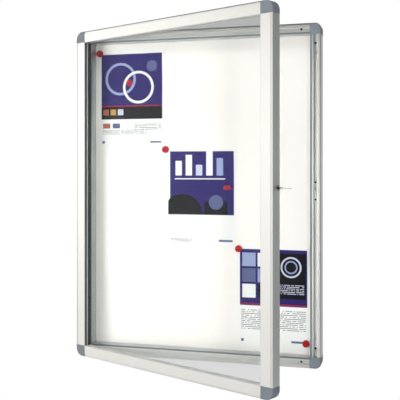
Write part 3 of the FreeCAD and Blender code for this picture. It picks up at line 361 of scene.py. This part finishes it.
ink = {
    "violet": "#2B2367", "black": "#0E0D14", "red": "#AE2530", "white": "#F1F1EE", "mist": "#9AA6CF",
    "slate": "#5C648C", "grey": "#8D9096", "clay": "#A8604C", "ochre": "#BE9A4E", "pale": "#C9CFE2",
    "paper": "#F7F7F5",
}
sheetMake = {
    "fibre": ("#F3F3F1", "#FAFAF8"), "fibreSize": 0.0008, "roughness": 0.42, "gloss": 0.15,
    "thickness": 0.0003, "lift": 0.0032, "liftReach": 0.085, "tipReach": 0.004, "standOff": 0.00004,
    "squares": (42, 60), "freeCorners": ((1, 1), (-1, -1)),   # the magnets hold the other two
}
wordMake = {"perWord": 4, "lineFill": 0.42, "gaps": 0.22}   # rows of marks that stand for a text
prints = {
    "sheetUpper": {
        "node": "paper_sheet_1",
        "shapes": [
            ("box", "violet", 0, 42.5, 198, 200),
            ("box", "black", 0, -38, 198, 39),
            ("ring", "mist", -36, 66, 46, 8),
            ("ring", "white", 22, 40, 46, 8),
            ("disc", "slate", 66, 104, 17),
            ("disc", "red", -7, 53, 10),
            ("box", "red", 0, -17.5, 198, 2.6),
            ("box", "clay", -84, -36, 18, 18), ("box", "ochre", -60, -36, 18, 18),
            ("box", "pale", -36, -36, 18, 18),
            ("box", "clay", -82, -78, 24, 15), ("box", "slate", -50, -78, 24, 15),
            ("words", "grey", -95, -104, 50, -90, 14, 4.0),
            ("words", "grey", 10, -90, 95, -70, 18, 5.0),
            ("box", "slate", 78, -128, 36, 5),
            ("box", "slate", -91, -128, 8, 8),
        ],
    },
    "sheetMiddle": {
        "node": "paper_sheet_2",
        "shapes": [
            ("box", "violet", 0, 47.5, 198, 190),
            ("box", "white", -72, 92, 20, 44), ("box", "white", -40, 101, 20, 62),
            ("box", "pale", -8, 86, 20, 32), ("box", "white", 24, 108, 20, 76),
            ("box", "mist", 56, 96, 20, 52),
            ("box", "white", -6, 60, 156, 3.5),
            ("disc", "black", -60, -47.5, 62),
            ("box", "black", 44, -28, 72, 39),
            ("disc", "slate", 44, -10, 22),
            ("box", "red", 78, 34, 22, 12),
            ("box", "paper", 0, -82, 214, 69),
            ("words", "grey", -95, -128, -30, -118, 14, 3.5),
            ("box", "slate", 74, -124, 42, 6),
        ],
    },
    "sheetLower": {
        "node": "paper_sheet_3",
        "shapes": [
            ("box", "violet", 0, 60, 198, 165),
            ("box", "mist", -72, 112, 40, 40), ("box", "white", -26, 112, 40, 40),
            ("box", "slate", -72, 66, 40, 40), ("box", "mist", -26, 66, 40, 40),
            ("box", "white", -72, 20, 40, 40), ("box", "black", -26, 20, 40, 40),
            ("box", "black", 52, 66, 86, 132),
            ("ring", "pale", 52, 92, 28, 5), ("ring", "mist", 52, 92, 17, 4),
            ("words", "pale", 16, 14, 90, 44, 12, 5.0),
            ("box", "red", 0, -18, 198, 3),
            ("words", "grey", -95, -92, -8, -34, 16, 5.5),
            ("words", "grey", 8, -92, 95, -34, 16, 5.5),
            ("box", "slate", 74, -124, 42, 6), ("box", "slate", -91, -124, 8, 8),
        ],
    },
}


def shapeMask(tree, place, centre, shape):    # 1 inside the printed shape, 0 outside
    kind, sizes = shape[0], [v / 1000 for v in shape[2:]]
    if kind == "words":
        x0, z0, x1, z1 = sizes[:4]
        word, line = sizes[4], sizes[5]
        box = ("box", None, (shape[2] + shape[4]) / 2, (shape[3] + shape[5]) / 2,
               shape[4] - shape[2], shape[5] - shape[3])
        inside = shapeMask(tree, place, centre, box)
        grid = addNode(tree, "ShaderNodeMapping", {
            "vector_type": "TEXTURE", "Location": (centre.x + x0, 0, centre.z + z0),
            "Scale": (word / wordMake["perWord"], 1, line),
        }, {"Vector": place})
        cell = addNode(tree, "ShaderNodeVectorMath", {"operation": "FLOOR"}, {0: grid.outputs[0]})
        split = addNode(tree, "ShaderNodeSeparateXYZ", None, {0: grid.outputs[0]})
        height = addNode(tree, "ShaderNodeMath", {"operation": "FRACT"}, {0: split.outputs["Z"]})
        stripe = addNode(tree, "ShaderNodeMath", {"operation": "LESS_THAN", 1: wordMake["lineFill"]},
                         {0: height.outputs[0]})
        chance = addNode(tree, "ShaderNodeTexWhiteNoise", None, {"Vector": cell.outputs[0]})
        filled = addNode(tree, "ShaderNodeMath", {"operation": "GREATER_THAN", 1: wordMake["gaps"]},
                         {0: chance.outputs["Value"]})
        marks = addNode(tree, "ShaderNodeMath", {"operation": "MULTIPLY"},
                        {0: stripe.outputs[0], 1: filled.outputs[0]})
        return addNode(tree, "ShaderNodeMath", {"operation": "MULTIPLY"},
                       {0: marks.outputs[0], 1: inside}).outputs[0]
    reach = (sizes[2] / 2, 1, sizes[3] / 2) if kind == "box" else (sizes[2], 1, sizes[2])
    local = addNode(tree, "ShaderNodeMapping", {
        "vector_type": "TEXTURE", "Location": (centre.x + sizes[0], centre.y, centre.z + sizes[1]),
        "Scale": reach,
    }, {"Vector": place})
    if kind == "box":
        away = addNode(tree, "ShaderNodeVectorMath", {"operation": "ABSOLUTE"}, {0: local.outputs[0]})
        split = addNode(tree, "ShaderNodeSeparateXYZ", None, {0: away.outputs[0]})
        most = addNode(tree, "ShaderNodeMath", {"operation": "MAXIMUM"},
                       {0: split.outputs["X"], 1: split.outputs["Z"]}).outputs[0]
        return addNode(tree, "ShaderNodeMath", {"operation": "LESS_THAN", 1: 1.0}, {0: most}).outputs[0]
    radius = addNode(tree, "ShaderNodeVectorMath", {"operation": "LENGTH"}, {0: local.outputs[0]})
    if kind == "disc":
        return addNode(tree, "ShaderNodeMath", {"operation": "LESS_THAN", 1: 1.0},
                       {0: radius.outputs["Value"]}).outputs[0]
    return addNode(tree, "ShaderNodeMath", {"operation": "COMPARE", 1: 1.0, 2: sizes[3] / sizes[2] / 2},
                   {0: radius.outputs["Value"]}).outputs[0]


def printedPaper(name, centre, shapes):       # coated paper: smooth, half gloss, very fine fibre
    material, tree, shader, place = startMaterial(name, {
        "Roughness": sheetMake["roughness"], "Specular IOR Level": sheetMake["gloss"],
    })
    fibre = addNode(tree, "ShaderNodeTexNoise", {"Scale": 1 / sheetMake["fibreSize"], "Detail": 2.0},
                    {"Vector": place})
    dark, pale = sheetMake["fibre"]
    top = addNode(tree, "ShaderNodeMix", {"data_type": "RGBA", 6: linear(dark), 7: linear(pale)},
                  {"Factor": fibre.outputs["Fac"]}).outputs[2]
    for shape in shapes:
        top = addNode(tree, "ShaderNodeMix", {"data_type": "RGBA", 7: linear(ink[shape[1]])},
                      {"Factor": shapeMask(tree, place, centre, shape), 6: top}).outputs[2]
    tree.links.new(top, shader.inputs["Base Color"])
    bump = addNode(tree, "ShaderNodeBump", {"Strength": 0.3, "Distance": 0.00001},
                   {"Height": fibre.outputs["Fac"]})
    tree.links.new(bump.outputs[0], shader.inputs["Normal"])
    return material


def makeSheet(name, make):
    low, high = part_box(make["node"])
    middle = (low + high) / 2
    bpy.ops.object.select_all(action="DESELECT")
    across, up = sheetMake["squares"]
    bpy.ops.mesh.primitive_grid_add(x_subdivisions=across, y_subdivisions=up, size=1, location=middle,
                                    rotation=(radians(90), 0, 0))
    piece = bpy.context.object
    piece.name = name
    piece.scale = (high.x - low.x, high.z - low.z, 1)
    piece.location.y = high.y - sheetMake["standOff"]
    bpy.ops.object.transform_apply(location=True, rotation=True, scale=True)
    for sideX, sideZ in sheetMake["freeCorners"]:
        tip = Vector((high.x if sideX > 0 else low.x, piece.data.vertices[0].co.y,
                      high.z if sideZ > 0 else low.z))
        bpy.ops.object.mode_set(mode="EDIT")
        bpy.ops.mesh.select_all(action="DESELECT")
        bpy.ops.object.mode_set(mode="OBJECT")
        for vertex in piece.data.vertices:
            vertex.select = (vertex.co - tip).length < sheetMake["tipReach"]
        bpy.ops.object.mode_set(mode="EDIT")
        bpy.ops.transform.translate(value=(0, -sheetMake["lift"], 0), use_proportional_edit=True,
                                    proportional_edit_falloff="SMOOTH",
                                    proportional_size=sheetMake["liftReach"])
        bpy.ops.object.mode_set(mode="OBJECT")
    bpy.ops.object.modifier_add(type="SOLIDIFY")
    piece.modifiers[-1].thickness = sheetMake["thickness"]
    piece.modifiers[-1].offset = 1
    bpy.ops.object.modifier_apply(modifier=piece.modifiers[-1].name)
    bpy.ops.object.shade_smooth_by_angle(angle=radians(30))
    piece.data.materials.append(printedPaper(name + "Print", middle, make["shapes"]))
    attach(piece, "case")
    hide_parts(make["node"])
    print(name, "done")


for name, make in prints.items():
    makeSheet(name, make)

# Floor, lamps, world and camera. The board hangs at eye height over a pale floor.

studio = {
    "floorZ": -1.45,
    "floorRadius": 1.9,
    "floorColour": "#F4F4F2",
    "floorFade": (0.35, 1.0),                 # shares of the radius between which it fades away
    "worldLevel": 0.25,
    "lamps": {
        "keyLamp": {"place": (-2.5, -4.2, -0.2), "size": (2.2, 1.4), "power": 76},
        "topLamp": {"place": (0.2, -1.7, 2.0), "size": (1.4, 0.8), "power": 13},
        "fillLamp": {"place": (1.80, -3.2, 0.0), "size": (0.4, 1.0), "power": 18},
    },
    # Cards that only reflections see. Level is the brightness at each height Z. The levels were tuned
    # to the tones of the aluminium in the main view alone.
    "cards": {
        "leftCard": {"place": (-4.2, -0.6, 0), "turn": 90, "size": 7.0, "colour": (1.0, 0.985, 0.95),
                     "levels": {-1.5: 0.80, -0.6: 1.12, 0.1: 1.70, 0.7: 1.66, 1.4: 1.62, 1.9: 1.20,
                                2.1: 0.10, 2.5: 0.06}},
        "frontCard": {"place": (-0.3, -4.4, 0), "turn": 0, "size": 4.6, "colour": (1.0, 1.0, 1.0),
                      "levels": {-1.6: 0.14, -1.1: 0.20, -0.5: 0.66, 0.1: 1.15, 0.6: 0.96, 0.9: 0.42,
                                 1.1: 0.10, 1.4: 0.04}},
        "rightFrontCard": {"place": (3.1, -3.2, 0), "turn": 45, "size": 3.6, "colour": (0.95, 1.0, 1.0),
                           "levels": {-1.5: 0.20, 0.1: 0.38, 1.4: 0.18}},
        "rightCard": {"place": (4.4, 1.4, 0), "turn": 90, "size": 7.0, "colour": (0.92, 1.0, 1.0),
                      "levels": {-1.5: 0.20, 0.1: 0.40, 1.4: 0.20}},
        "rightBackCard": {"place": (2.6, 4.9, 0), "turn": 0, "size": 3.8, "colour": (1.0, 1.0, 1.0),
                          "levels": {-1.5: 0.45, 0.1: 0.70, 1.4: 0.45}},
    },
    "cardHeight": 5.0,
    "aim": (0, -0.1, 0),
    "topCard": {"place": (0, -0.5, 2.5), "size": (8.0, 8.0), "colour": (1.0, 1.0, 1.0),
                "levels": {0: 0.08, 3: 0.08}},
    # A glowing grey card close behind the board, which only rays through glass see. Its levels were
    # tuned to the main view; from other sides its edge can show in the glass.
    "backdrop": {"place": (-0.05, 0.12, 0), "size": (0.8, 1.2), "colour": (1.0, 1.0, 1.0),
                 "levels": {-0.6: 0.74, -0.47: 0.68, 0.47: 0.47, 0.6: 0.45}},
}


def addLamp(name, make):
    bpy.ops.object.light_add(type="AREA", location=make["place"])
    lamp = bpy.context.object
    lamp.name = name
    lamp.data.shape = "RECTANGLE"
    lamp.data.size, lamp.data.size_y = make["size"]
    lamp.data.energy = make["power"]
    lamp.rotation_euler = (Vector(studio["aim"]) - lamp.location).to_track_quat("-Z", "Y").to_euler()
    lamp.visible_glossy = False               # the cards are what metal and glass reflect


def addCard(name, place, turn, size, colour, levels):
    bpy.ops.object.select_all(action="DESELECT")
    bpy.ops.mesh.primitive_plane_add(size=1, location=place, rotation=turn)
    card = bpy.context.object
    card.name = name
    card.scale = (*size, 1)
    bpy.ops.object.transform_apply(location=True, rotation=True, scale=True)
    material, tree, shader, place = startMaterial(name + "Paper", {})
    tree.nodes.remove(shader)
    split = addNode(tree, "ShaderNodeSeparateXYZ", None, {0: place})
    low, high = min(levels), max(levels)
    height = addNode(tree, "ShaderNodeMapRange", {"From Min": low, "From Max": high},
                     {"Value": split.outputs["Z"]})
    ramp = addNode(tree, "ShaderNodeValToRGB", None, {0: height.outputs[0]})
    stops = sorted(levels)
    for stop in stops[1:-1]:
        ramp.color_ramp.elements.new((stop - low) / (high - low))
    for element, stop in zip(ramp.color_ramp.elements, stops):
        element.color = (*[levels[stop] * c for c in colour], 1)
    glow = addNode(tree, "ShaderNodeEmission", None, {"Color": ramp.outputs[0]})
    tree.links.new(glow.outputs[0], tree.nodes["Material Output"].inputs["Surface"])
    card.data.materials.append(material)
    card.visible_camera = card.visible_diffuse = card.visible_transmission = card.visible_shadow = False
    return card


for name, make in studio["lamps"].items():
    addLamp(name, make)
for name, make in studio["cards"].items():
    addCard(name, make["place"], (radians(90), 0, radians(make["turn"])),
            (make["size"], studio["cardHeight"]), make["colour"], make["levels"])
top = studio["topCard"]
addCard("topCard", top["place"], (0, 0, 0), top["size"], top["colour"], top["levels"])

back = studio["backdrop"]
card = addCard("backdrop", back["place"], (radians(90), 0, 0), back["size"], back["colour"], back["levels"])
card.visible_transmission, card.visible_glossy = True, False

bpy.ops.object.select_all(action="DESELECT")
bpy.ops.mesh.primitive_circle_add(vertices=96, radius=studio["floorRadius"], fill_type="NGON",
                                  location=(0, 0, studio["floorZ"]))
floor = bpy.context.object
floor.name = "floor"
bpy.ops.object.transform_apply(location=True)
material, tree, shader, place = startMaterial("paleFloor", {
    "Base Color": linear(studio["floorColour"]), "Roughness": 0.9,
})
flat = addNode(tree, "ShaderNodeMapping", {
    "vector_type": "TEXTURE", "Location": (0, 0, studio["floorZ"]), "Scale": [studio["floorRadius"]] * 3,
}, {"Vector": place})
distance = addNode(tree, "ShaderNodeVectorMath", {"operation": "LENGTH"}, {0: flat.outputs[0]})
fade = addNode(tree, "ShaderNodeMapRange", {
    "interpolation_type": "SMOOTHSTEP",
    "From Min": studio["floorFade"][0], "From Max": studio["floorFade"][1],
}, {"Value": distance.outputs["Value"]})
clear = addNode(tree, "ShaderNodeBsdfTransparent")
mix = addNode(tree, "ShaderNodeMixShader", None,
              {0: fade.outputs[0], 1: shader.outputs[0], 2: clear.outputs[0]})
tree.links.new(mix.outputs[0], tree.nodes["Material Output"].inputs["Surface"])
floor.data.materials.append(material)

# White where the eye, metal or glass looks at it before any diffuse bounce, and dim otherwise.
world = bpy.data.worlds.new("studioWorld")
scene.world = world
world.use_nodes = True
tree = world.node_tree
path = addNode(tree, "ShaderNodeLightPath")
seen = addNode(tree, "ShaderNodeMath", {"operation": "ADD"},
               {0: path.outputs["Is Camera Ray"], 1: path.outputs["Is Glossy Ray"]})
seen = addNode(tree, "ShaderNodeMath", {"operation": "ADD", "use_clamp": True},
               {0: seen.outputs[0], 1: path.outputs["Is Transmission Ray"]})
direct = addNode(tree, "ShaderNodeMath", {"operation": "LESS_THAN", 1: 0.5},
                 {0: path.outputs["Diffuse Depth"]})
seen = addNode(tree, "ShaderNodeMath", {"operation": "MULTIPLY"},
               {0: seen.outputs[0], 1: direct.outputs[0]})
strength = addNode(tree, "ShaderNodeMapRange", {"To Min": studio["worldLevel"], "To Max": 1.0},
                   {"Value": seen.outputs[0]})
tree.links.new(strength.outputs[0], tree.nodes["Background"].inputs["Strength"])
tree.nodes["Background"].inputs["Color"].default_value = (1, 1, 1, 1)

view = {"place": (0.6205, -2.2233, 0.0772), "turn": 15.65, "lens": 69.17, "sensor": 36, "shift": -0.079}
bpy.ops.object.camera_add(location=view["place"], rotation=(radians(90), 0, radians(view["turn"])))
camera = bpy.context.object
camera.data.lens = view["lens"]
camera.data.sensor_width = view["sensor"]
camera.data.shift_y = view["shift"]
scene.camera = camera
scene.view_settings.view_transform = "Standard"
print("studio done")
